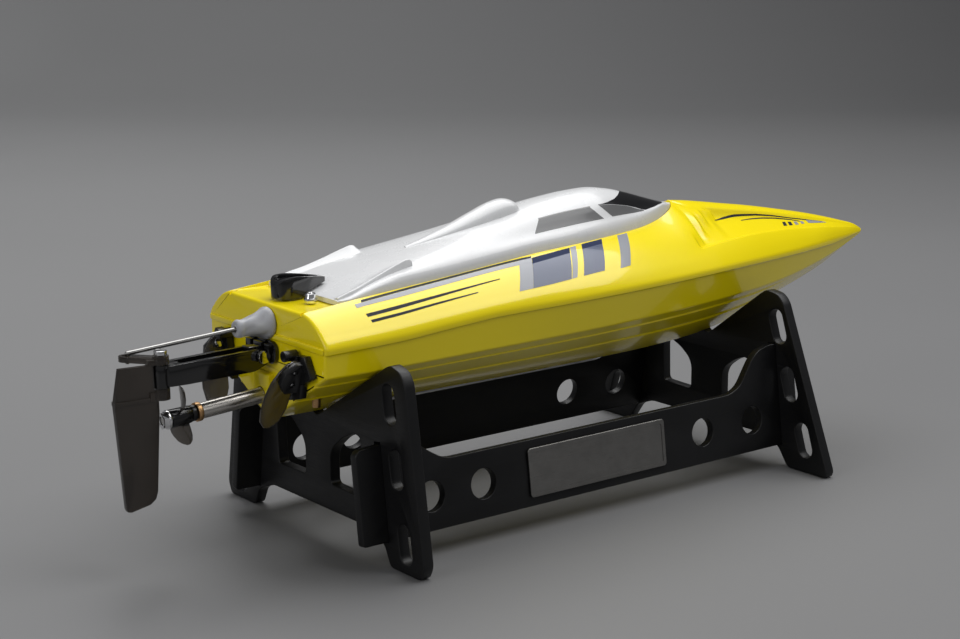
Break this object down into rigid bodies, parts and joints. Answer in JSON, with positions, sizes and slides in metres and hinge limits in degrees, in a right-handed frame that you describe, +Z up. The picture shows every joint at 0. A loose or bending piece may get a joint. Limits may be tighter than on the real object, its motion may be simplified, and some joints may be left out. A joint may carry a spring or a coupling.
{
  "type": "rc boat",
  "caption": "Deep-vee remote-control speed boat with lift-up canopy, latch, steerable rudder, propeller drive and turn fins, resting on a slotted display stand.",
  "frame": {"origin": "centre of the whole object's footprint, on the surface that the stand's feet rest on", "axes": "+X towards the bow, +Y to port, +Z up"},
  "size_m": [0.4236, 0.1582, 0.1329],
  "materials": {
    "yellow_shell": "high gloss",
    "white_shell": "semi gloss",
    "black_plastic": "satin moulded",
    "black_gloss": "high gloss",
    "smoke_plastic": "translucent smoke",
    "steel": "ground",
    "chrome": "bright",
    "brass": "dull",
    "rubber": "translucent soft",
    "seal": "matt",
    "aluminium": "satin",
    "battery_wrap": "shrink wrap",
    "foam": "closed-cell foam",
    "silicone": "clear soft",
    "ivory": "nylon"
  },
  "bodies": {
    "stand": {"stand_rear_plate": "black_plastic", "stand_front_plate": "black_plastic", "stand_rail_left": "black_plastic", "stand_rail_right": "black_plastic", "stand_name_plate": "aluminium"},
    "hull": {"hull_lower": "yellow_shell", "deck_upper": "yellow_shell", "canopy_gasket": "seal", "latch_post": "steel", "stuffing_tube": "steel", "shaft_bush_rear": "brass", "shaft_bush_front": "brass", "motor_can": "aluminium", "motor_end_cap": "black_plastic", "motor_mount": "black_plastic", "cooling_jacket": "aluminium", "cooling_hose_in": "silicone", "cooling_hose_out": "silicone", "water_inlet": "brass", "outlet_nozzle": "chrome", "steering_servo": "black_plastic", "servo_mount": "black_plastic", "pushrod_boot": "rubber", "rudder_pin": "chrome", "rudder_arm": "black_plastic", "rudder_arm_mount": "black_plastic", "rudder_clamp_screw": "chrome", "battery_tray": "black_plastic", "battery_pack": "battery_wrap", "battery_strap": "seal", "control_unit": "black_plastic", "control_unit_pad": "foam", "bow_float": "foam", "turn_fin_left": "smoke_plastic", "fin_bracket_left": "black_plastic", "fin_screw_upper_left": "chrome", "fin_screw_lower_left": "chrome", "turn_fin_right": "smoke_plastic", "fin_bracket_right": "black_plastic", "fin_screw_upper_right": "chrome", "fin_screw_lower_right": "chrome"},
    "canopy": {"canopy": "white_shell"},
    "latch": {"latch_knob": "black_gloss"},
    "drive": {"drive_shaft": "steel", "thrust_washer": "ivory", "propeller": "smoke_plastic", "propeller_nut": "chrome", "shaft_coupling": "aluminium", "motor_rotor": "steel"},
    "servo_arm": {"servo_horn": "white_shell", "servo_horn_screw": "steel"},
    "pushrod": {"steering_pushrod": "chrome"},
    "rudder": {"rudder": "smoke_plastic"}
  },
  "joints": [
    {"name": "boat_lift", "type": "slide", "parent": "stand", "child": "hull", "axis": [0, 0, 1], "range_m": [0, 0.08]},
    {"name": "canopy_tip", "type": "hinge", "parent": "hull", "child": "canopy", "pos_m": [0.07655, 0, 0.1219], "axis": [0, 1, 0], "range_deg": [0, 40]},
    {"name": "latch_turn", "type": "hinge", "parent": "hull", "child": "latch", "pos_m": [-0.13325, 0, 0.106], "axis": [0, 0, 1], "range_deg": [0, 90]},
    {"name": "propeller_spin", "type": "hinge", "parent": "hull", "child": "drive", "pos_m": [-0.18265, 0, 0.06231], "axis": [0.9976, 0, 0.0698], "continuous": true},
    {"name": "servo_turn", "type": "hinge", "parent": "hull", "child": "servo_arm", "pos_m": [-0.10155, -0.0225, 0.0969], "axis": [0, 0, 1], "range_deg": [-20, 20]},
    {"name": "rudder_turn", "type": "hinge", "parent": "hull", "child": "rudder", "pos_m": [-0.19075, 0, 0.08], "axis": [0, 0, 1], "range_deg": [-20, 20]},
    {"name": "pushrod_travel", "type": "slide", "parent": "hull", "child": "pushrod", "axis": [-0.7843, -0.6203, 0], "range_m": [-0.00511, 0.00511], "deforming": ["pushrod_boot"]}
  ],
  "couplings": [
    {"joint": "rudder_turn", "follows": "servo_turn", "ratio": 1},
    {"joint": "pushrod_travel", "follows": "servo_turn", "m_per_rad": 0.014623}
  ]
}
